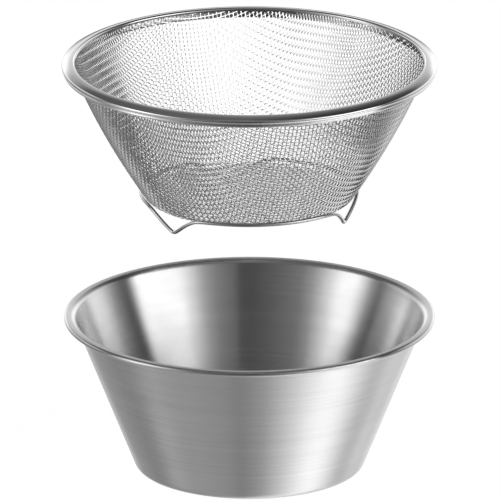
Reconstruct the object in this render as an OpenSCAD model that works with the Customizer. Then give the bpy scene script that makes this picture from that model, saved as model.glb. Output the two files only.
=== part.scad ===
// Wire sieve with its bowl: a woven-wire basket with a rolled rim and a three-foot wire ring
// under it, held level above a rolled-rim bowl that it drops into.
// Frame: +Z up, origin at the centre of the bowl's base. The sieve is drawn lifted clear.

/* [Bowl] */
// Diameter across the bowl's rolled rim
bowl_d = 198; // [197:0.2:204]
// Height of the middle of the bowl's rim above its base
bowl_h = 83.2; // [76:0.2:100]
// Sheet thickness of the bowl
bowl_t = 0.6; // [0.5:0.05:0.8]
// Radius that the bowl's wall gains for each millimetre of height
bowl_lean = 0.4; // [0.38:0.01:0.44]
// Bend radius between the bowl's floor and its wall
floor_bend = 4.7; // [3:0.1:8]
// Height of the bowl's rolled rim
bead_t = 2.8; // [2.4:0.1:3.2]
// Bend radius where the bowl's wall turns out into its rim
mouth_bend = 3.2; // [2:0.1:3.6]

/* [Sieve rim] */
// Diameter across the sieve's rim
sieve_d = 200; // [199:0.2:206]
// Thickness of the strip that the rim is rolled from
strip_t = 0.4; // [0.35:0.05:0.45]
// Width of the rim's rounded top, from its inner lip to its outer roll
rim_w = 6.9; // [6.6:0.1:7.2]
// Diameter of the wire that the cloth's edge is wrapped round
core_d = 1.1; // [0.8:0.1:1.1]

/* [Wire cloth] */
// Thickness of the skin that stands for the woven cloth
skin_t = 0.35; // [0.3:0.01:0.38]
// Thickness of the real cloth, which is two of its wires
weave_t = 1.1; // [0.8:0.05:1.2]
// Depth of the basket below the middle of its rim
basket_h = 74.1; // [66:0.1:80]
// Radius that the basket's wall loses for each millimetre of depth at the rim
wall_lean = 0.402; // [0.36:0.002:0.44]
// How much that lean grows for each millimetre of depth
wall_bow = 0.0038; // [0.002:0.0001:0.005]
// Bend radius between the basket's floor and its wall
basket_bend = 4.5; // [3:0.1:7]

/* [Foot ring] */
// Diameter of the foot ring's wire
foot_wire_d = 2; // [1.8:0.1:2.4]
// Number of feet bent into the ring
feet = 3; // [3:1:4]
// Direction of the first foot, from +X towards +Y
foot_angle = 221; // [0:1:359]
// Height of the ring's spans above the basket's floor
span_rise = 2.6; // [2:0.1:5]
// Depth of the feet below the basket's floor
foot_drop = 9.7; // [7:0.1:10]
// How steeply a foot's two arms fall
arm_slope = 0.72; // [0.6:0.02:1]

/* [Travel] */
// Height that the sieve is lifted above its seat on the bowl
lift = 136.2; // [0:0.2:160]

/* [Hidden] */

bend_steps = 8;
$fn = 180;

// Bowl: centres of the rim's outer bend and of the bend at the mouth, and the rolled sheet's end
bowl_r = bowl_d / 2;
bead_bend = bead_t / 2 - bowl_t / 2;
bead_r = bowl_r - bead_t / 2;
mouth_r = bead_r - 1.8;
bead_end_r = bead_r - 1.6;
wall_angle = atan(bowl_lean);
mouth_z = bowl_h + bead_bend - mouth_bend;
mouth_foot = [mouth_r, mouth_z] + mouth_bend * [-cos(wall_angle), sin(wall_angle)];
floor_r = mouth_foot[0] - bowl_lean * (mouth_foot[1] - bowl_t / 2);
floor_bend_r = floor_r - floor_bend * tan((90 - wall_angle) / 2);

// Sieve rim: a lip, a rounded top that falls towards the outside, and the middles of its two rolls,
// with heights measured from the middle of the rim
roll_bend = 1.2;
lip_r = sieve_d / 2 - rim_w + strip_t / 2;
lip_bend = 0.9;
lip_end = -0.3;
top_z = 1.3;
crown_end = 60;
crown_run = sieve_d / 2 - strip_t / 2 - roll_bend - lip_r - lip_bend;
crown_bend = roll_bend + crown_run / cos(crown_end);
crown_c = [lip_r + lip_bend, top_z - crown_bend];
roll_c = crown_c + (crown_bend - roll_bend) * [cos(crown_end), sin(crown_end)];
valley_bend = 0.4;
valley_turn = 70;
skirt_bend = 0.65;
skirt_turn = 45;
valley_c = roll_c + (roll_bend + valley_bend) * [cos(valley_turn), -sin(valley_turn)];
skirt_c = valley_c - (skirt_bend + valley_bend) * [cos(skirt_turn), sin(skirt_turn)];
skirt_end_r = lip_r + 0.9;
rim_seat = skirt_c[1] - skirt_bend - strip_t / 2;

// Heights of the middle of the sieve's rim: seated on the bowl, and lifted as drawn
seat_gap = 0.1;
seat_z = bowl_h + bead_t / 2 + seat_gap - rim_seat;
rim_z = seat_z + lift;

// Basket: radius of the cloth's middle at a depth below the rim, and its lean there
cloth_r = sieve_d / 2 - 5 - weave_t / 2;
function basket_r(d) = cloth_r - wall_lean * d - wall_bow * d * d / 2;
function basket_lean(d) = wall_lean + wall_bow * d;
floor_z = weave_t / 2 - basket_h;
bottom_angle = atan(basket_lean(basket_h));
basket_bend_d = -floor_z - basket_bend * (1 - sin(bottom_angle));
basket_bend_r = basket_r(basket_bend_d) - basket_bend * cos(bottom_angle);

// Foot ring: depth of the spans and the feet, and how far the arms and the tips are rounded
span_d = basket_h - span_rise;
drop = foot_drop + span_rise - foot_wire_d / 2;
tip_round = 2;
arm_round = 3;
foot_lean = 0.39;
ring_steps = 40;
tube_sides = 10;

// Welds between the ring and the cloth
weld_d = 1.9;
weld_h = 0.8;
welds_per_span = 3;

// Unit vector along v
function unit(v) = v / norm(v);

// A sheet's middle is a list of stations, each a point and the direction to its left side.
// Stations of an arc about c, from angle a to angle b
function arc(c, r, a, b, steps = bend_steps) =
    [for (i = [0 : steps])
        let (angle = a + (b - a) * i / steps, out = [cos(angle), sin(angle)])
        [c + r * out, b > a ? -out : out]];

// Stations at the two ends of a straight run
function run(p, q) =
    let (d = unit(q - p), left = [-d[1], d[0]])
    [[p, left], [q, left]];

// Outline of a sheet of thickness t
function sheet(stations, t) = concat(
    [for (s = stations) s[0] + s[1] * t / 2],
    [for (i = [len(stations) - 1 : -1 : 0]) stations[i][0] - stations[i][1] * t / 2]
);

// Smooth stand-in for max(x, 0), rounded over a width of about k
function soften(x, k) = (x + sqrt(x * x + k * k)) / 2;

// One sheet turned round the axis
module spun(stations, t) {
    rotate_extrude()
        polygon(sheet(stations, t));
}

// Floor, wall and rolled rim of the bowl, one drawn sheet
module bowl_shell() {
    sheet_z = bowl_t / 2;
    bead_z = bowl_h - bead_bend;
    stations = concat(
        run([0, sheet_z], [floor_bend_r - 1, sheet_z]),
        arc([floor_bend_r, sheet_z + floor_bend], floor_bend, -90, -wall_angle),
        arc([mouth_r, mouth_z], mouth_bend, 180 - wall_angle, 90),
        arc([bead_r, bowl_h], bead_bend, 90, -90),
        run([bead_r - 1, bead_z], [bead_end_r, bead_z])
    );
    color("lightsteelblue")
        spun(stations, bowl_t);
}

// Strip rolled over the cloth's edge: inner lip, rounded top, outer roll and a lower roll under it
module sieve_rim() {
    lip_top = top_z - lip_bend;
    skirt_z = skirt_c[1] - skirt_bend;
    stations = concat(
        run([lip_r, lip_end], [lip_r, lip_top - 0.2]),
        arc([lip_r + lip_bend, lip_top], lip_bend, 180, 90, 5),
        arc(crown_c, crown_bend, 87, crown_end + 3, 5),
        arc(roll_c, roll_bend, crown_end, -valley_turn),
        arc(valley_c, valley_bend, 180 - valley_turn + 20, 160 + skirt_turn, 3),
        arc(skirt_c, skirt_bend, skirt_turn, -90),
        run([skirt_c[0] - 1, skirt_z], [skirt_end_r, skirt_z])
    );
    color("silver")
        translate([0, 0, rim_z])
            spun(stations, strip_t);
}

// Stiffening wire inside the outer roll
module rim_core_wire() {
    color("gray")
        translate([0, 0, rim_z])
            rotate_extrude()
                translate(roll_c)
                    circle(d = core_d, $fn = 24);
}

// Basket of woven cloth, drawn as a thin skin, its edge wrapped over the core wire
module wire_cloth() {
    wrap_r = core_d / 2 + 0.05 + skin_t / 2;
    wall_steps = 9;
    wall_top = 0.6;
    stations = concat(
        run([0, floor_z], [basket_bend_r - 1, floor_z]),
        arc([basket_bend_r, floor_z + basket_bend], basket_bend, -90, -bottom_angle),
        [for (i = [wall_steps - 1 : -1 : 0])
            let (d = wall_top + (basket_bend_d - wall_top) * i / wall_steps)
            [[basket_r(d), -d], unit([-1, basket_lean(d)])]],
        [[[lip_r + strip_t / 2 + 1.6, roll_c[1] + wrap_r], unit([-0.5, 1])]],
        arc(roll_c, wrap_r, 90, -30)
    );
    color("gainsboro")
        translate([0, 0, rim_z])
            spun(stations, skin_t);
}

// Depth below the rim of the foot ring's middle, u degrees round from the nearest foot
function ring_depth(u) =
    let (a = abs(u) * PI / 180 * basket_r(span_d))
    span_d + soften(drop - arm_slope * (sqrt(a * a + tip_round * tip_round) - tip_round), arm_round);

// Radius of the foot ring's middle at a depth: on the wall's outside, then steeper below it
function ring_r(d) =
    basket_r(span_d) + (weave_t + foot_wire_d) / 2 * sqrt(1 + pow(basket_lean(span_d), 2))
    - foot_lean * (d - span_d);

// Point on the foot ring's middle at angle a
function ring_point(a) =
    let (pitch = 360 / feet,
        turn = (a - foot_angle) / pitch,
        u = (turn - round(turn)) * pitch,
        d = ring_depth(u))
    [ring_r(d) * cos(a), ring_r(d) * sin(a), -d];

// Ring of points round a closed path's point i, in the plane square to the path
function tube_ring(path, i, r, sides) =
    let (n = len(path),
        along = unit(path[(i + 1) % n] - path[(i + n - 1) % n]),
        across = unit(cross(along, [0, 0, 1])),
        up = cross(across, along))
    [for (k = [0 : sides - 1])
        path[i] + r * (across * cos(360 * k / sides) + up * sin(360 * k / sides))];

// Round tube along a closed path
module closed_tube(path, r, sides) {
    n = len(path);
    points = [for (i = [0 : n - 1]) each tube_ring(path, i, r, sides)];
    faces = [for (i = [0 : n - 1]) for (k = [0 : sides - 1])
        let (j = (i + 1) % n, m = (k + 1) % sides)
        [i * sides + k, i * sides + m, j * sides + m, j * sides + k]];
    polyhedron(points, faces, convexity = 6);
}

// One closed wire bent into three feet, with spans that lie against the basket's wall
module foot_ring() {
    count = feet * ring_steps;
    color("darkgray")
        translate([0, 0, rim_z])
            closed_tube([for (i = [0 : count - 1]) ring_point(360 * i / count)],
                foot_wire_d / 2, tube_sides);
}

// Small welds that hold the foot ring's spans to the cloth
module weld_spots() {
    span_end_d = ring_depth(180 / feet);
    slope = atan(basket_lean(span_end_d));
    inset = foot_wire_d / 2 + 0.1;
    spread = 22;
    color("dimgray")
        translate([0, 0, rim_z])
            for (i = [0 : feet - 1], k = [0 : welds_per_span - 1])
                rotate(foot_angle + (i + 0.5) * 360 / feet + (k - (welds_per_span - 1) / 2) * spread)
                    translate([ring_r(span_end_d) - inset * cos(slope), 0,
                        inset * sin(slope) - span_end_d])
                        rotate([0, 90 + slope, 0])
                            cylinder(h = weld_h, d = weld_d, center = true, $fn = 24);
}

bowl_shell();
sieve_rim();
rim_core_wire();
wire_cloth();
foot_ring();
weld_spots();
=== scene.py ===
"""Looks for the wire sieve with its bowl: a basket of real plain-woven wire, a rolled rim, a bent
foot wire with its welds, and a spun bowl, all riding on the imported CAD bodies, in a pale studio."""

import math

import bpy
import numpy as np
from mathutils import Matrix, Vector


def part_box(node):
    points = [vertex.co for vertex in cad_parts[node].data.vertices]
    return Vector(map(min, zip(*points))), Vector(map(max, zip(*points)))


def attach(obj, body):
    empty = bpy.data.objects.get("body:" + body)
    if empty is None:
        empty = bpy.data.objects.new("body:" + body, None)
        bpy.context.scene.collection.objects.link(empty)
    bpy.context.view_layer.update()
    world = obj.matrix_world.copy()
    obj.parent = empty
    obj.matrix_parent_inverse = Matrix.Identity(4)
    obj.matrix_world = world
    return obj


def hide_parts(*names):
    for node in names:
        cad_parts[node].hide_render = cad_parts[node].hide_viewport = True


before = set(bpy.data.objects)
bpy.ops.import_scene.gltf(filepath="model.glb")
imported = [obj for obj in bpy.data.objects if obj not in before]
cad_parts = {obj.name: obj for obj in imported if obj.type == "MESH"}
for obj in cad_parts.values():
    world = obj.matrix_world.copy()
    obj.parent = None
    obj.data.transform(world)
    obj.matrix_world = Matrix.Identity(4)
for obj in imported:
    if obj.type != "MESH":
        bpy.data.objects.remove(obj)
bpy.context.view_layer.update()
scene = bpy.context.scene

MM = 0.001
UV_NAME = "OFBake"

# Sizes are in millimetres, as in the part's source

# Bowl: its radius, the height of its rim's middle, its sheet, and the bends of the sheet
BOWL_R = 99.0
BOWL_H = 83.2
BOWL_T = 0.6
BOWL_LEAN = 0.4
FLOOR_BEND = 4.7
BEAD_T = 2.8
MOUTH_BEND = 3.2
RIM_FLAT = 1.8
BEAD_RETURN = 1.6

# Sieve rim, with heights from the middle of the rim: a lip, a crown that falls outwards, a roll,
# a valley and a skirt
SIEVE_R = 100.0
STRIP_T = 0.4
RIM_W = 6.9
ROLL_BEND = 1.2
RIM_TOP = 1.5
CROWN_END = 60
LIP_BEND = 0.9
LIP_END = -0.3
VALLEY_BEND = 0.4
VALLEY_TURN = 70
SKIRT_BEND = 0.65
SKIRT_TURN = 45
SKIRT_INSET = 0.9

# Basket: the cloth's middle surface, depths below the middle of the rim
BASKET_H = 74.1
WEAVE_T = 1.1
CLOTH_R = 94.45
WALL_LEAN = 0.402
WALL_BOW = 0.0038
BASKET_BEND = 4.5
WIRE_D = 0.56
PITCH = 2.25
WEAVE_TURN = 19.0
TRIM_DEPTH = 0.5
STEPS_PER_PITCH = 4
WIRE_SIDES = 5
CLOTH_PARTS = 3

# Foot ring
FOOT_WIRE_D = 2.0
FEET = 3
FOOT_ANGLE = 221.0
SPAN_RISE = 2.6
FOOT_DROP = 9.7
ARM_SLOPE = 0.72
TIP_ROUND = 2.0
ARM_ROUND = 3.0
FOOT_LEAN = 0.39

# Welds: places along each span, and half sizes along the ring, across it and out of the cloth
WELDS_PER_SPAN = 3
WELD_SPREAD = 22.0
WELD_INSET = 0.1
WELD_SIZE = (1.25, 0.95, 0.5)
WELD_ROUGHNESS = 0.1
WELD_SEED = 7

LATHE_STEPS = 384

rim_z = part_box("sieve_rim")[1].z / MM - RIM_TOP


# ---------------------------------------------------------------- meshes

def add_mesh(name, points, groups, uvs, material):
    """A mesh from points in millimetres and groups of faces with the same number of sides"""
    uv = np.concatenate([u.reshape(-1, 2) for u in uvs])
    mesh = bpy.data.meshes.new(name)
    loops = np.concatenate([g.ravel() for g in groups]).astype(np.int32)
    sides = np.concatenate([np.full(len(g), g.shape[1]) for g in groups])
    starts = np.concatenate([[0], np.cumsum(sides)[:-1]]).astype(np.int32)
    mesh.vertices.add(len(points))
    mesh.vertices.foreach_set("co", (np.asarray(points) * MM).astype(np.float32).ravel())
    mesh.loops.add(len(loops))
    mesh.loops.foreach_set("vertex_index", loops)
    mesh.polygons.add(len(starts))
    mesh.polygons.foreach_set("loop_start", starts)
    mesh.update(calc_edges=True)
    layer = mesh.uv_layers.new(name=UV_NAME)
    layer.uv.foreach_set("vector", uv.astype(np.float32).ravel())
    mesh.shade_smooth()
    mesh.set_sharp_from_angle(angle=math.radians(50))
    mesh.validate()
    mesh.materials.append(material)
    obj = bpy.data.objects.new(name, mesh)
    scene.collection.objects.link(obj)
    return obj


def arc(c, r, start, end, steps=12):
    """Stations of an arc about c: points of a sheet's middle with the direction to its left side"""
    angles = np.radians(np.linspace(start, end, steps + 1))
    out = np.stack([np.cos(angles), np.sin(angles)], 1)
    return np.hstack([np.asarray(c) + r * out, -out if end > start else out])


def run(p, q, steps=1):
    """Stations of a straight run from p to q"""
    p, q = np.array(p, float), np.array(q, float)
    along = (q - p) / np.linalg.norm(q - p)
    t = np.linspace(0, 1, steps + 1)[:, None]
    return np.hstack([p + (q - p) * t, np.tile([-along[1], along[0]], (steps + 1, 1))])


def sheet(stations, t):
    """Outline of a sheet of thickness t, clockwise"""
    middle, left = stations[:, :2], stations[:, 2:]
    return np.vstack([middle + left * t / 2, (middle - left * t / 2)[::-1]])


def lathe(name, outline, z, material, closed=True, steps=LATHE_STEPS):
    """An outline of radius and height turned round the axis, and lifted by z.
    An outline that isn't closed starts and ends on the axis."""
    n = len(outline)
    turn = 2 * np.pi * np.arange(steps) / steps
    points = np.stack([
        np.outer(outline[:, 0], np.cos(turn)),
        np.outer(outline[:, 0], np.sin(turn)),
        np.repeat(outline[:, 1:] + z, steps, 1)], 2).reshape(-1, 3)
    i = np.arange(n if closed else n - 1)
    j = np.arange(steps)
    i, j = (a.ravel() for a in np.meshgrid(i, j, indexing="ij"))
    i2, j2 = (i + 1) % n, (j + 1) % steps
    quads = np.stack([i * steps + j, i2 * steps + j, i2 * steps + j2, i * steps + j2], 1)
    closing = np.vstack([outline, outline[:1]])
    length = np.concatenate([[0], np.cumsum(np.linalg.norm(np.diff(closing, axis=0), axis=1))])
    v = length / length[-1]
    uv = np.stack([
        np.stack([j / steps, v[i]], 1), np.stack([j / steps, v[i + 1]], 1),
        np.stack([(j + 1) / steps, v[i + 1]], 1), np.stack([(j + 1) / steps, v[i]], 1)], 1)
    if closed:
        return add_mesh(name, points, [quads], [uv], material)
    # The rings on the axis shrink to one point each
    first, last = 0, (n - 1) * steps
    quads[quads < steps] = first
    quads[quads >= last] = last
    keep = (i > 0) & (i < n - 2)
    top, bottom = i == 0, i == n - 2
    fans = np.vstack([quads[top][:, [0, 1, 2]], quads[bottom][:, [0, 1, 3]]])
    fan_uv = np.concatenate([uv[top][:, [0, 1, 2]], uv[bottom][:, [0, 1, 3]]])
    used, index = np.unique(np.concatenate([quads[keep].ravel(), fans.ravel()]), return_inverse=True)
    split = 4 * int(keep.sum())
    return add_mesh(name, points[used], [index[:split].reshape(-1, 4), index[split:].reshape(-1, 3)],
                    [uv[keep], fan_uv], material)


def unit(v):
    """Unit vectors along v"""
    return v / np.linalg.norm(v, axis=-1, keepdims=True)


def tube(path, normal, radius, sides, closed):
    """Points and faces of a round tube along a path; normal is a direction across it at each point"""
    if closed:
        along = np.roll(path, -1, 0) - np.roll(path, 1, 0)
    else:
        along = np.gradient(path, axis=0)
    along = unit(along)
    across = unit(np.cross(along, normal))
    up = np.cross(across, along)
    angle = 2 * np.pi * np.arange(sides) / sides
    ring = up[:, None] * np.cos(angle)[:, None] + across[:, None] * np.sin(angle)[:, None]
    points = (path[:, None] + radius * ring).reshape(-1, 3)
    n = len(path)
    last = n if closed else n - 1
    s, k = (a.ravel() for a in np.meshgrid(np.arange(last), np.arange(sides), indexing="ij"))
    s2, k2 = (s + 1) % n, (k + 1) % sides
    quads = np.stack([s * sides + k, s * sides + k2, s2 * sides + k2, s2 * sides + k], 1)
    uv = np.stack([np.stack([s, s, s + 1, s + 1], 1) / last, np.stack([k, k + 1, k + 1, k], 1) / sides], 2)
    return points, quads, uv


# ---------------------------------------------------------------- materials and light

class Nodes:
    """A node tree that is filled in one call at a time"""

    def __init__(self, tree):
        self.tree = tree
        tree.nodes.clear()

    def add(self, kind, inputs=None, **settings):
        node = self.tree.nodes.new(kind)
        for key, value in settings.items():
            setattr(node, key, value)
        for key, value in (inputs or {}).items():
            if isinstance(value, bpy.types.NodeSocket):
                self.tree.links.new(value, node.inputs[key])
            else:
                node.inputs[key].default_value = value
        return node

    def math(self, operation, a, b=0.0, c=0.0):
        return self.add("ShaderNodeMath", {0: a, 1: b, 2: c}, operation=operation).outputs[0]

    def remap(self, value, low, high, to_low=0.0, to_high=1.0, smooth=False):
        kind = "SMOOTHSTEP" if smooth else "LINEAR"
        return self.add("ShaderNodeMapRange", {0: value, 1: low, 2: high, 3: to_low, 4: to_high},
                        interpolation_type=kind).outputs[0]

    def noise(self, vector, scale, detail=3.0, roughness=0.5):
        return self.add("ShaderNodeTexNoise", {"Vector": vector, "Scale": scale, "Detail": detail,
                                               "Roughness": roughness}).outputs["Fac"]

    def grey(self, value):
        return self.add("ShaderNodeCombineColor", {0: value, 1: value, 2: value}).outputs[0]


def new_material(name):
    material = bpy.data.materials.new(name)
    material.use_nodes = True
    return material, Nodes(material.node_tree)


def finish_metal(n, colour, roughness, bump, anisotropic=0.0):
    """Closes a material with a metal shader; colour, roughness and bump are sockets"""
    shader = n.add("ShaderNodeBsdfPrincipled", {
        "Base Color": colour, "Roughness": roughness, "Metallic": 1.0, "Normal": bump})
    if anisotropic:
        shader.inputs["Anisotropic"].default_value = anisotropic
        shader.inputs["Anisotropic Rotation"].default_value = 0.25
        tangent = n.add("ShaderNodeTangent", direction_type="RADIAL", axis="Z").outputs[0]
        n.tree.links.new(tangent, shader.inputs["Tangent"])
    n.add("ShaderNodeOutputMaterial", {"Surface": shader.outputs[0]})


def brushed_steel(name, grey, grey_spread, rough, rough_spread, lines_per_m, bump_m, anisotropic):
    """Spun steel: fine lines run round the axis, with slow changes of tone between them"""
    material, n = new_material(name)
    place = n.add("ShaderNodeTexCoord").outputs["Object"]
    split = n.add("ShaderNodeSeparateXYZ", {0: place})
    x, y, z = split.outputs
    radius = n.math("SQRT", n.math("ADD", n.math("MULTIPLY", x, x), n.math("MULTIPLY", y, y)))
    along = n.math("ADD", n.math("MULTIPLY", radius, 0.6), z)
    lines_at = n.add("ShaderNodeCombineXYZ", {
        0: n.math("MULTIPLY", x, 9.0), 1: n.math("MULTIPLY", y, 9.0),
        2: n.math("MULTIPLY", along, lines_per_m)}).outputs[0]
    lines = n.noise(lines_at, 1.0, 4.0, 0.65)
    bands = n.noise(n.add("ShaderNodeCombineXYZ", {
        0: n.math("MULTIPLY", x, 6.0), 1: n.math("MULTIPLY", y, 6.0),
        2: n.math("MULTIPLY", along, 160.0)}).outputs[0], 1.0, 2.0)
    wear = n.noise(place, 55.0, 4.0)
    tone = n.math("ADD", n.math("MULTIPLY", lines, 0.6), n.math("ADD", n.math("MULTIPLY", bands, 0.25),
                                                               n.math("MULTIPLY", wear, 0.15)))
    colour = n.grey(n.remap(tone, 0.3, 0.7, grey - grey_spread, grey + grey_spread))
    roughness = n.remap(n.math("ADD", n.math("MULTIPLY", lines, 0.5), n.math("MULTIPLY", wear, 0.5)),
                        0.3, 0.7, rough - rough_spread, rough + rough_spread)
    bump = n.add("ShaderNodeBump", {"Strength": 0.2, "Distance": bump_m, "Height": lines}).outputs[0]
    finish_metal(n, colour, roughness, bump, anisotropic)
    return material


def drawn_steel(name, grey, grey_spread, rough, rough_spread, scale, bump_m):
    """Drawn or rolled steel: bright, with small dull flecks and a slight unevenness"""
    material, n = new_material(name)
    place = n.add("ShaderNodeTexCoord").outputs["Object"]
    flecks = n.noise(place, scale, 4.0, 0.6)
    slow = n.noise(place, scale / 9, 2.0)
    tone = n.math("ADD", n.math("MULTIPLY", flecks, 0.6), n.math("MULTIPLY", slow, 0.4))
    colour = n.grey(n.remap(tone, 0.3, 0.7, grey - grey_spread, grey + grey_spread))
    roughness = n.remap(flecks, 0.3, 0.7, rough - rough_spread, rough + rough_spread)
    bump = n.add("ShaderNodeBump", {"Strength": 0.3, "Distance": bump_m, "Height": flecks}).outputs[0]
    finish_metal(n, colour, roughness, bump)
    return material


def weld_steel(name):
    """Weld metal: duller and darker than the wire, with a heat tint that comes and goes"""
    material, n = new_material(name)
    place = n.add("ShaderNodeTexCoord").outputs["Object"]
    scale_marks = n.noise(place, 900.0, 5.0, 0.7)
    tint = n.noise(place, 260.0, 2.0)
    tone = n.math("ADD", n.math("MULTIPLY", scale_marks, 0.5), n.math("MULTIPLY", tint, 0.5))
    colour = n.grey(n.remap(tone, 0.3, 0.7, 0.22, 0.5))
    roughness = n.remap(tone, 0.3, 0.7, 0.5, 0.3)
    bump = n.add("ShaderNodeBump", {"Strength": 0.5, "Distance": 0.0001, "Height": scale_marks}).outputs[0]
    finish_metal(n, colour, roughness, bump)
    return material


# ---------------------------------------------------------------- bowl

def bowl_outline():
    """Outline of the bowl's sheet: floor, bend, wall, mouth and rolled rim"""
    wall = math.degrees(math.atan(BOWL_LEAN))
    bead_bend = BEAD_T / 2 - BOWL_T / 2
    bead_r = BOWL_R - BEAD_T / 2
    mouth_r = bead_r - RIM_FLAT
    mouth_z = BOWL_H + bead_bend - MOUTH_BEND
    foot = np.array([mouth_r, mouth_z]) + MOUTH_BEND * np.array([
        -math.cos(math.radians(wall)), math.sin(math.radians(wall))])
    floor_r = foot[0] - BOWL_LEAN * (foot[1] - BOWL_T / 2)
    bend_r = floor_r - FLOOR_BEND * math.tan(math.radians((90 - wall) / 2))
    floor_z = BOWL_T / 2
    bead_z = BOWL_H - bead_bend
    bottom = arc([bend_r, floor_z + FLOOR_BEND], FLOOR_BEND, -90, -wall)
    mouth = arc([mouth_r, mouth_z], MOUTH_BEND, 180 - wall, 90)
    return sheet(np.vstack([
        run([0, floor_z], [bend_r - 0.5, floor_z], 24),
        bottom,
        run(bottom[-1, :2], mouth[0, :2], 40)[1:-1],
        mouth,
        run(mouth[-1, :2], [bead_r, BOWL_H + bead_bend], 2)[1:-1],
        arc([bead_r, BOWL_H], bead_bend, 90, -90, 16),
        run([bead_r - 0.5, bead_z], [bead_r - BEAD_RETURN, bead_z], 2)]), BOWL_T)


# ---------------------------------------------------------------- sieve

def rim_outline():
    """Outline of the sieve rim's strip, from the lip over the crown and the roll to the skirt"""
    lip_r = SIEVE_R - RIM_W + STRIP_T / 2
    top_z = RIM_TOP - STRIP_T / 2
    crown_end, turn, skirt = (math.radians(a) for a in (CROWN_END, VALLEY_TURN, SKIRT_TURN))
    crown_run = SIEVE_R - STRIP_T / 2 - ROLL_BEND - lip_r - LIP_BEND
    crown_bend = ROLL_BEND + crown_run / math.cos(crown_end)
    crown = np.array([lip_r + LIP_BEND, top_z - crown_bend])
    roll = crown + (crown_bend - ROLL_BEND) * np.array([math.cos(crown_end), math.sin(crown_end)])
    valley = roll + (ROLL_BEND + VALLEY_BEND) * np.array([math.cos(turn), -math.sin(turn)])
    low = valley - (SKIRT_BEND + VALLEY_BEND) * np.array([math.cos(skirt), math.sin(skirt)])
    skirt_z = low[1] - SKIRT_BEND
    return sheet(np.vstack([
        run([lip_r, LIP_END], [lip_r, top_z - LIP_BEND - 0.1], 3),
        arc([lip_r + LIP_BEND, top_z - LIP_BEND], LIP_BEND, 180, 90, 12),
        arc(crown, crown_bend, 89, CROWN_END + 1, 14),
        arc(roll, ROLL_BEND, CROWN_END, -VALLEY_TURN, 22),
        arc(valley, VALLEY_BEND, 180 - VALLEY_TURN + 10, 170 + SKIRT_TURN, 8),
        arc(low, SKIRT_BEND, SKIRT_TURN, -90, 16),
        run([low[0] - 0.3, skirt_z], [lip_r + SKIRT_INSET, skirt_z], 3)]), STRIP_T)


def basket_r(d):
    """Radius of the cloth's middle at a depth below the middle of the rim"""
    return CLOTH_R - WALL_LEAN * d - WALL_BOW * d * d / 2


def basket_lean(d):
    """Radius that the cloth loses for each millimetre of depth there"""
    return WALL_LEAN + WALL_BOW * d


FLOOR_DEPTH = BASKET_H - WEAVE_T / 2
BOTTOM_ANGLE = math.atan(basket_lean(BASKET_H))
BEND_DEPTH = FLOOR_DEPTH - BASKET_BEND * (1 - math.sin(BOTTOM_ANGLE))
BEND_R = basket_r(BEND_DEPTH) - BASKET_BEND * math.cos(BOTTOM_ANGLE)


def cloth_depth(r):
    """Depth of the cloth's middle below the rim at a radius, and its slope"""
    wall = np.sqrt(np.maximum(WALL_LEAN ** 2 + 2 * WALL_BOW * (CLOTH_R - r), 1e-4))
    across = np.clip(r - BEND_R, 0, BASKET_BEND * 0.999)
    down = np.sqrt(BASKET_BEND ** 2 - across ** 2)
    on_wall = r > basket_r(BEND_DEPTH)
    depth = np.where(on_wall, (wall - WALL_LEAN) / WALL_BOW, FLOOR_DEPTH - BASKET_BEND + down)
    slope = np.where(on_wall, -1 / wall, -across / down)
    return depth, slope


def on_cloth(xy):
    """Points of the cloth's middle over x and y, and the way out of the basket there"""
    r = np.linalg.norm(xy, axis=-1)
    depth, slope = cloth_depth(r)
    way = xy / np.maximum(r, 1e-6)[..., None]
    return np.concatenate([xy, -depth[..., None]], -1), unit(
        np.concatenate([-slope[..., None] * way, -np.ones_like(depth)[..., None]], -1))


def next_crossings(a, b, corner):
    """The crossings one pitch from a and from b along the cloth, on the far side from the corner"""
    xy = (a + b - corner)[:, :2]
    for _ in range(12):
        p, _ = on_cloth(xy)
        r = np.maximum(np.linalg.norm(xy, axis=1), 1e-6)
        fall = -cloth_depth(r)[1][:, None] * xy / r[:, None]
        rows = []
        for q in (a, b):
            away = p - q
            rows.append((away[:, :2] + away[:, 2:] * fall, ((away ** 2).sum(1) - PITCH ** 2) / 2))
        (ja, fa), (jb, fb) = rows
        det = ja[:, 0] * jb[:, 1] - ja[:, 1] * jb[:, 0]
        step = np.stack([fa * jb[:, 1] - fb * ja[:, 1], fb * ja[:, 0] - fa * jb[:, 0]], 1) / det[:, None]
        size = np.linalg.norm(step, axis=1, keepdims=True)
        xy = xy - step * np.minimum(1, PITCH / 2 / np.maximum(size, 1e-9))
    return on_cloth(xy)[0]


def weave_quarter(count):
    """Crossings of the cloth's wires over one quarter, from the two straight wires outwards.
    The cloth was flat before it was drawn, so wires keep their pitch and only turn at crossings."""
    reach = np.linspace(0, CLOTH_R + 8, 4000)
    line = on_cloth(np.stack([reach, np.zeros_like(reach)], 1))[0]
    length = np.concatenate([[0], np.cumsum(np.linalg.norm(np.diff(line, axis=0), axis=1))])
    axis_r = np.interp(PITCH * np.arange(count + 1), length, reach)
    net = np.full((count + 1, count + 1, 3), np.nan)
    net[:, 0] = on_cloth(np.stack([axis_r, np.zeros_like(axis_r)], 1))[0]
    net[0, :] = on_cloth(np.stack([np.zeros_like(axis_r), axis_r], 1))[0]
    for diagonal in range(2, 2 * count + 1):
        i = np.arange(max(1, diagonal - count), min(count, diagonal - 1) + 1)
        j = diagonal - i
        net[i, j] = next_crossings(net[i - 1, j], net[i, j - 1], net[i - 1, j - 1])
    return net[..., :2]


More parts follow.
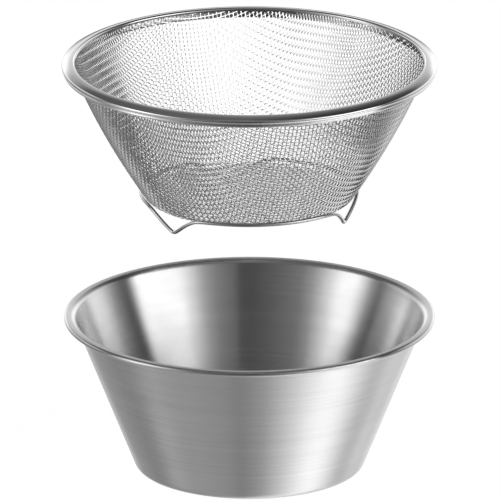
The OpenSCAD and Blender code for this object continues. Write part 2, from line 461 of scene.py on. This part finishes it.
def whole_weave():
    """Every crossing, from the quarter and its three turns about the axis, and the wires' count"""
    reach = np.linspace(0, CLOTH_R + 6, 4000)
    line = on_cloth(np.stack([reach, np.zeros_like(reach)], 1))[0]
    count = int(np.linalg.norm(np.diff(line, axis=0), axis=1).sum() / PITCH)
    quarter = weave_quarter(count)
    net = np.zeros((2 * count + 1, 2 * count + 1, 2))
    for k in range(4):
        turned = quarter @ np.linalg.matrix_power(np.array([[0, 1], [-1, 0]]), k)
        for i in range(count + 1):
            for j in range(count + 1):
                a, b = [(i, j), (-j, i), (-i, -j), (j, -i)][k]
                net[count + a, count + b] = turned[i, j]
    return net, count


def wire_paths(net, count, side):
    """The wires of one family: a path and the way out of the basket at each of its points.
    side is 1 or -1: a wire passes over where the other family's wire passes under."""
    paths = []
    fine = np.arange(0, 2 * count + 1e-9, 1 / STEPS_PER_PITCH)
    k = np.minimum(fine.astype(int), 2 * count - 1)
    t = (fine - k)[:, None]
    for i in range(-count, count + 1):
        row = net[count + i]
        before, after = row[np.maximum(k - 1, 0)], row[np.minimum(k + 2, 2 * count)]
        p, q = row[k], row[k + 1]
        xy = 0.5 * (2 * p + (q - before) * t + (2 * before - 5 * p + 4 * q - after) * t ** 2
                    + (3 * p - before - 3 * q + after) * t ** 3)
        points, out = on_cloth(xy)
        inside = -points[:, 2] > TRIM_DEPTH
        middle = len(fine) // 2
        if not inside[middle]:
            continue
        last = middle + np.argmin(np.append(inside[middle:], False))
        first = middle - np.argmin(np.append(inside[middle::-1], False)) + 1
        if last - first < 8:
            continue
        wave = side * (-1) ** i * np.cos(np.pi * (fine - count))[:, None]
        path = points + out * wave * WIRE_D / 2
        paths.append((path[first:last], out[first:last]))
    return paths


def add_wires(name, paths, material):
    """One mesh of many wires, each with its own strip of the texture"""
    points, quads, quad_uv, caps, cap_uv = [], [], [], [], []
    start = 0
    for strip, (path, out) in enumerate(paths):
        p, q, uv = tube(path, out, WIRE_D / 2, WIRE_SIDES, False)
        uv = uv * [1, 0.9 / len(paths)] + [0, (strip + 0.05) / len(paths)]
        points.append(p)
        quads.append(q + start)
        quad_uv.append(uv)
        ends = np.array([np.arange(WIRE_SIDES)[::-1], len(p) - WIRE_SIDES + np.arange(WIRE_SIDES)])
        caps.append(ends + start)
        cap_uv.append(np.tile([0.5, (strip + 0.5) / len(paths)], (2, WIRE_SIDES, 1)))
        start += len(p)
    turn = math.radians(WEAVE_TURN)
    spin = np.array([
        [math.cos(turn), math.sin(turn), 0],
        [-math.sin(turn), math.cos(turn), 0],
        [0, 0, 1]])
    points = np.vstack(points) @ spin + [0, 0, rim_z]
    return add_mesh(name, points, [np.vstack(quads), np.vstack(caps)],
                    [np.concatenate(quad_uv), np.concatenate(cap_uv)], material)


def add_cloth(material):
    """Both families of the cloth's wires, each in a few pieces of about the same length"""
    net, count = whole_weave()
    pieces = []
    for name, grid, side in (("warp", net, 1), ("weft", net.transpose(1, 0, 2), -1)):
        paths = wire_paths(grid, count, side)
        length = np.cumsum([len(p) for p, _ in paths])
        part = np.minimum((length * CLOTH_PARTS / (length[-1] + 1)).astype(int), CLOTH_PARTS - 1)
        for k in range(CLOTH_PARTS):
            chosen = [p for p, m in zip(paths, part) if m == k]
            pieces.append(add_wires(f"cloth_{name}_{k + 1}", chosen, material))
    return pieces


# ---------------------------------------------------------------- foot ring and welds

def soften(x, k):
    """Smooth stand-in for the larger of x and 0, rounded over a width of about k"""
    return (x + np.sqrt(x * x + k * k)) / 2


SPAN_DEPTH = BASKET_H - SPAN_RISE


def ring_depth(u):
    """Depth of the ring's middle, u degrees round from the nearest foot"""
    a = np.abs(np.radians(u)) * basket_r(SPAN_DEPTH)
    drop = FOOT_DROP + SPAN_RISE - FOOT_WIRE_D / 2
    return SPAN_DEPTH + soften(drop - ARM_SLOPE * (np.sqrt(a * a + TIP_ROUND ** 2) - TIP_ROUND), ARM_ROUND)


def ring_r(d):
    """Radius of the ring's middle at a depth: on the wall's outside, then steeper below it"""
    stand_off = (WEAVE_T + FOOT_WIRE_D) / 2 * math.sqrt(1 + basket_lean(SPAN_DEPTH) ** 2)
    return basket_r(SPAN_DEPTH) + stand_off - FOOT_LEAN * (d - SPAN_DEPTH)


def add_foot_ring(material):
    """One closed wire, bent down into its feet"""
    angle = np.linspace(0, 360, 720, endpoint=False)
    turn = (angle - FOOT_ANGLE) * FEET / 360
    depth = ring_depth((turn - np.round(turn)) * 360 / FEET)
    a = np.radians(angle)
    path = np.stack([ring_r(depth) * np.cos(a), ring_r(depth) * np.sin(a), rim_z - depth], 1)
    up = np.tile([0.0, 0.0, 1.0], (len(path), 1))
    points, quads, uv = tube(path, up, FOOT_WIRE_D / 2, 16, True)
    return add_mesh("foot_ring_wire", points, [quads], [uv], material)


def weld_bead(turn, rng, rings=10, sides=18):
    """Points of one uneven bead at a heading, between the ring's span and the cloth"""
    depth = ring_depth(180 / FEET)
    slope = math.atan(basket_lean(depth))
    inset = FOOT_WIRE_D / 2 + WELD_INSET
    out = np.array([math.cos(turn), math.sin(turn), 0])
    along = np.array([-math.sin(turn), math.cos(turn), 0])
    normal = math.cos(slope) * out + math.sin(slope) * np.array([0, 0, -1])
    up = np.cross(normal, along)
    r = ring_r(depth) - inset * math.cos(slope)
    centre = np.array([r * out[0], r * out[1], rim_z - depth + inset * math.sin(slope)])
    lat = np.linspace(-np.pi / 2 + 0.02, np.pi / 2 - 0.02, rings)
    lon = 2 * np.pi * np.arange(sides) / sides
    swell = 1 + WELD_ROUGHNESS * rng.standard_normal((rings, sides))
    lat, lon = np.meshgrid(lat, lon, indexing="ij")
    ball = np.stack([np.cos(lat) * np.cos(lon), np.cos(lat) * np.sin(lon), np.sin(lat)], -1)
    local = ball * WELD_SIZE * swell[..., None]
    bead = centre + local[..., :1] * along + local[..., 1:2] * up + local[..., 2:] * normal
    return bead.reshape(-1, 3)


def bead_faces(start, cell, rings=10, sides=18):
    """Faces of one bead whose points begin at start, and their place in the texture"""
    i, j = (a.ravel() for a in np.meshgrid(np.arange(rings - 1), np.arange(sides), indexing="ij"))
    j2 = (j + 1) % sides
    quads = np.stack([i * sides + j, i * sides + j2, (i + 1) * sides + j2, (i + 1) * sides + j], 1)
    across = np.stack([j, j + 1, j + 1, j], 1) / sides
    down = np.stack([i, i, i + 1, i + 1], 1) / rings
    uv = np.stack([across, down], 2) * [0.3, 0.3] + [0.33 * (cell % 3), 0.33 * (cell // 3)]
    return start + quads, uv


def add_welds(material):
    """Small flattened beads where the ring's spans touch the cloth"""
    rng = np.random.default_rng(WELD_SEED)
    points, quads, uvs = [], [], []
    for cell in range(FEET * WELDS_PER_SPAN):
        span, k = divmod(cell, WELDS_PER_SPAN)
        middle = FOOT_ANGLE + (span + 0.5) * 360 / FEET
        turn = math.radians(middle + (k - (WELDS_PER_SPAN - 1) / 2) * WELD_SPREAD)
        bead = weld_bead(turn, rng)
        faces, uv = bead_faces(cell * len(bead), cell)
        points.append(bead)
        quads.append(faces)
        uvs.append(uv)
    return add_mesh("weld_beads", np.vstack(points), [np.vstack(quads)], [np.concatenate(uvs)], material)


# ---------------------------------------------------------------- studio

# Brightness of the room: for each elevation in degrees, its strength by heading, in degrees from
# +X towards +Y. Pale walls and dark gaps between them give the steel its bands.
ROOM = {
    68: [(-180, 0.12), (-130, 0.2), (-90, 0.3), (-50, 0.2), (0, 0.04), (50, 0.03), (90, 0.12),
         (130, 0.14), (180, 0.12)],
    35: [(-180, 0.12), (-150, 0.15), (-90, 0.05), (-30, 0.2), (0, 0.08), (30, 0.04), (60, 0.05),
         (75, 0.1), (90, 0.24), (105, 0.12), (120, 0.1), (150, 0.1), (180, 0.12)],
    24: [(-180, 0.6), (-176, 1.2), (-167, 2.3), (-157, 2.3), (-147, 1.4), (-137, 0.7), (-126, 0.35),
         (-92, 0.07), (-83, 0.08), (-80, 0.24), (-67, 0.45), (-58, 0.8), (-49, 1.6),
         (-40, 2.4), (-22, 2.4), (-8, 2.5), (-4, 1.2), (-1, 0.2), (4, 0.1), (14, 0.35), (28, 0.9),
         (45, 0.7), (60, 0.4), (80, 0.45), (90, 0.4), (100, 0.45), (122, 0.4), (140, 0.6), (152, 0.8),
         (163, 0.55), (171, 0.1), (180, 0.6)],
    13: [(-180, 0.6), (-176, 1.2), (-167, 2.1), (-157, 2.1), (-147, 1.3), (-137, 0.65), (-126, 0.3),
         (-108, 0.14), (-92, 0.06), (-83, 0.07), (-80, 0.22), (-67, 0.42), (-58, 0.75), (-49, 1.5),
         (-40, 2.3), (-22, 2.3), (-8, 2.4), (-4, 1.1), (-1, 0.2), (4, 0.1), (14, 0.35), (28, 1.1),
         (55, 1.2), (75, 1.5), (86, 1.0), (94, 1.0), (105, 1.5), (130, 1.1), (150, 0.9), (163, 0.55),
         (171, 0.1), (180, 0.6)],
    2: [(-180, 0.5), (-165, 0.9), (-145, 0.6), (-125, 0.15), (-95, 0.06), (-75, 0.08), (-60, 0.3),
        (-45, 0.7), (-25, 1.1), (-8, 1.1), (-2, 0.4), (4, 0.15), (15, 0.35), (33, 1.0), (55, 1.1),
        (66, 1.2), (78, 1.3), (85, 0.2), (95, 0.2), (102, 1.3), (120, 0.8), (135, 0.5), (150, 0.4),
        (168, 0.2), (180, 0.5)],
    -16: [(-180, 0.8), (-168, 1.0), (-150, 0.5), (-118, 0.05), (-75, 0.05), (-45, 0.08), (-20, 0.1),
          (0, 0.06), (20, 0.08), (40, 0.4), (60, 0.8), (76, 1.2), (84, 0.12), (96, 0.12), (104, 1.0),
          (118, 0.4), (135, 0.08), (165, 0.3), (180, 0.8)],
    -34: [(-180, 0.6), (-168, 0.7), (-150, 0.4), (-118, 0.3), (-90, 0.3), (-70, 0.4), (-40, 0.9),
          (-20, 1.4), (0, 1.5), (14, 1.0), (27, 0.45), (40, 1.0), (60, 0.8), (80, 0.8), (100, 0.6),
          (125, 0.4), (145, 0.3), (165, 0.26), (180, 0.6)],
    -54: [(-180, 0.33), (-168, 0.42), (-150, 0.44), (-118, 0.38), (-103, 0.30), (-73, 0.40), (-41, 0.85),
          (-21, 1.5), (-8, 1.75), (3, 1.7), (14, 1.0), (27, 0.4), (40, 1.0), (60, 0.9), (90, 1.0),
          (125, 0.4), (148, 0.26), (168, 0.27), (180, 0.33)],
}
ROOM_MAX = 2.5


def studio_world():
    """White to the camera, and panels of light and shade to the steel"""
    world = bpy.data.worlds.new("studio")
    world.use_nodes = True
    scene.world = world
    n = Nodes(world.node_tree)
    x, y, z = n.add("ShaderNodeSeparateXYZ", {0: n.add("ShaderNodeTexCoord").outputs["Generated"]}).outputs
    heading = n.math("ADD", n.math("DIVIDE", n.math("ARCTAN2", y, x), 2 * math.pi), 0.5)
    height = n.math("MULTIPLY", n.math("ARCSINE", z), 180 / math.pi)

    def by_heading(stops):
        ramp = n.add("ShaderNodeValToRGB", {0: heading})
        elements = ramp.color_ramp.elements
        while len(elements) < len(stops):
            elements.new(0.5)
        for element, (degrees, strength) in zip(elements, stops):
            element.position = degrees / 360 + 0.5
            element.color = (strength / ROOM_MAX,) * 3 + (1,)
        return n.math("MULTIPLY", ramp.outputs[0], ROOM_MAX)

    levels = sorted(ROOM)
    strength = by_heading(ROOM[levels[0]])
    for lower, upper in zip(levels, levels[1:]):
        share = n.remap(height, lower, upper, smooth=True)
        change = n.math("SUBTRACT", by_heading(ROOM[upper]), strength)
        strength = n.math("ADD", strength, n.math("MULTIPLY", change, share))
    seen = n.add("ShaderNodeLightPath").outputs["Is Camera Ray"]
    strength = n.math("ADD", strength, n.math("MULTIPLY", n.math("SUBTRACT", 1.0, strength), seen))
    background = n.add("ShaderNodeBackground", {"Color": (1, 1, 1, 1), "Strength": strength})
    n.add("ShaderNodeOutputWorld", {"Surface": background.outputs[0]})


def basket_fill(receivers, spot_strength, top_strength):
    """Two soft lamps that light only the cloth: one faces its far side, one is over its mouth"""
    spot = bpy.data.lights.new("far_side_fill", "SPOT")
    spot.energy = spot_strength
    spot.shadow_soft_size = 0.05
    spot.spot_size = math.radians(130)
    spot.spot_blend = 1.0
    top = bpy.data.lights.new("mouth_fill", "AREA")
    top.energy = top_strength
    top.shape = "DISK"
    top.size = 0.15
    group = bpy.data.collections.new("lit_by_basket_fill")
    for receiver in receivers:
        group.objects.link(receiver)
    spot_place = (0, -0.02, (rim_z + 5) * MM)
    top_place = (0.01, 0.03, (rim_z + 15) * MM)
    for lamp, place, tilt in ((spot, spot_place, 96), (top, top_place, 0)):
        obj = bpy.data.objects.new(lamp.name, lamp)
        obj.location = place
        obj.rotation_euler = (math.radians(tilt), 0, 0)
        obj.visible_camera = False
        obj.light_linking.receiver_collection = group
        scene.collection.objects.link(obj)


# The floor lies just below the bowl, so that the two don't share a plane; both in metres
FLOOR_WIDTH = 12.0
FLOOR_GAP = 0.0002


def studio_floor():
    """A plain pale floor, only just darker where the object keeps light off it"""
    material, n = new_material("studio_floor")
    glow = n.add("ShaderNodeEmission", {"Color": (1, 1, 1, 1), "Strength": 0.975})
    matt = n.add("ShaderNodeBsdfDiffuse", {"Color": (0.08, 0.08, 0.08, 1)})
    both = n.add("ShaderNodeAddShader", {0: glow.outputs[0], 1: matt.outputs[0]})
    n.add("ShaderNodeOutputMaterial", {"Surface": both.outputs[0]})
    mesh = bpy.data.meshes.new("floor")
    half = FLOOR_WIDTH / 2
    corners = [(-half, -half, 0), (half, -half, 0), (half, half, 0), (-half, half, 0)]
    mesh.from_pydata(corners, [], [(0, 1, 2, 3)])
    mesh.materials.append(material)
    floor = bpy.data.objects.new("floor", mesh)
    floor.location.z = -FLOOR_GAP
    floor.visible_glossy = False
    floor.visible_diffuse = False
    scene.collection.objects.link(floor)


# Camera: degrees above the horizon, lens and sensor in millimetres, then metres
CAMERA_ELEVATION = 18.2
LENS = 1700
SENSOR_WIDTH = 36
FRAME_WIDTH = 0.2667
TARGET = Vector((0.0003, 0, 0.1206))


def add_camera():
    """A long lens, looking down a little on the object"""
    camera = bpy.data.cameras.new("camera")
    camera.lens = LENS
    camera.sensor_width = SENSOR_WIDTH
    distance = LENS / SENSOR_WIDTH * FRAME_WIDTH
    camera.clip_end = 4 * distance
    obj = bpy.data.objects.new("camera", camera)
    a = math.radians(CAMERA_ELEVATION)
    obj.location = TARGET + distance * Vector((0, -math.cos(a), math.sin(a)))
    obj.rotation_euler = (math.radians(90 - CAMERA_ELEVATION), 0, 0)
    scene.collection.objects.link(obj)
    scene.camera = obj


# ---------------------------------------------------------------- assembly

bowl_steel = brushed_steel("bowl_brushed_steel", grey=0.7, grey_spread=0.065, rough=0.23,
                           rough_spread=0.03, lines_per_m=1500.0, bump_m=0.000001, anisotropic=1.0)
rim_steel = brushed_steel("rim_rolled_steel", grey=0.78, grey_spread=0.02, rough=0.13,
                          rough_spread=0.02, lines_per_m=2600.0, bump_m=0.000002, anisotropic=0.3)
cloth_steel = drawn_steel("cloth_wire_steel", grey=0.47, grey_spread=0.08, rough=0.18,
                          rough_spread=0.05, scale=700.0, bump_m=0.00001)
foot_steel = drawn_steel("foot_wire_steel", grey=0.68, grey_spread=0.08, rough=0.2,
                         rough_spread=0.06, scale=900.0, bump_m=0.00003)
core_steel = drawn_steel("core_wire_steel", grey=0.5, grey_spread=0.08, rough=0.35,
                         rough_spread=0.06, scale=900.0, bump_m=0.00003)
weld_metal = weld_steel("weld_metal")

bowl = lathe("bowl_spun_shell", bowl_outline(), 0, bowl_steel, closed=False)
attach(bowl, "bowl")
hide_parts("bowl_shell")

rim = lathe("sieve_rolled_rim", rim_outline(), rim_z, rim_steel)
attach(rim, "sieve")
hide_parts("sieve_rim")

cloth = add_cloth(cloth_steel)
for wires in cloth:
    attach(wires, "sieve")
    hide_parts("wire_cloth")

ring = add_foot_ring(foot_steel)
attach(ring, "sieve")
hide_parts("foot_ring")

beads = add_welds(weld_metal)
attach(beads, "sieve")
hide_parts("weld_spots")

for piece in [*cloth, ring, beads]:
    piece.visible_glossy = False

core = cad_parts["rim_core_wire"]
core.data.materials.clear()
core.data.materials.append(core_steel)

studio_world()
basket_fill(cloth, spot_strength=0.45, top_strength=0.125)
studio_floor()
add_camera()
scene.view_settings.view_transform = "Standard"
scene.view_settings.look = "None"
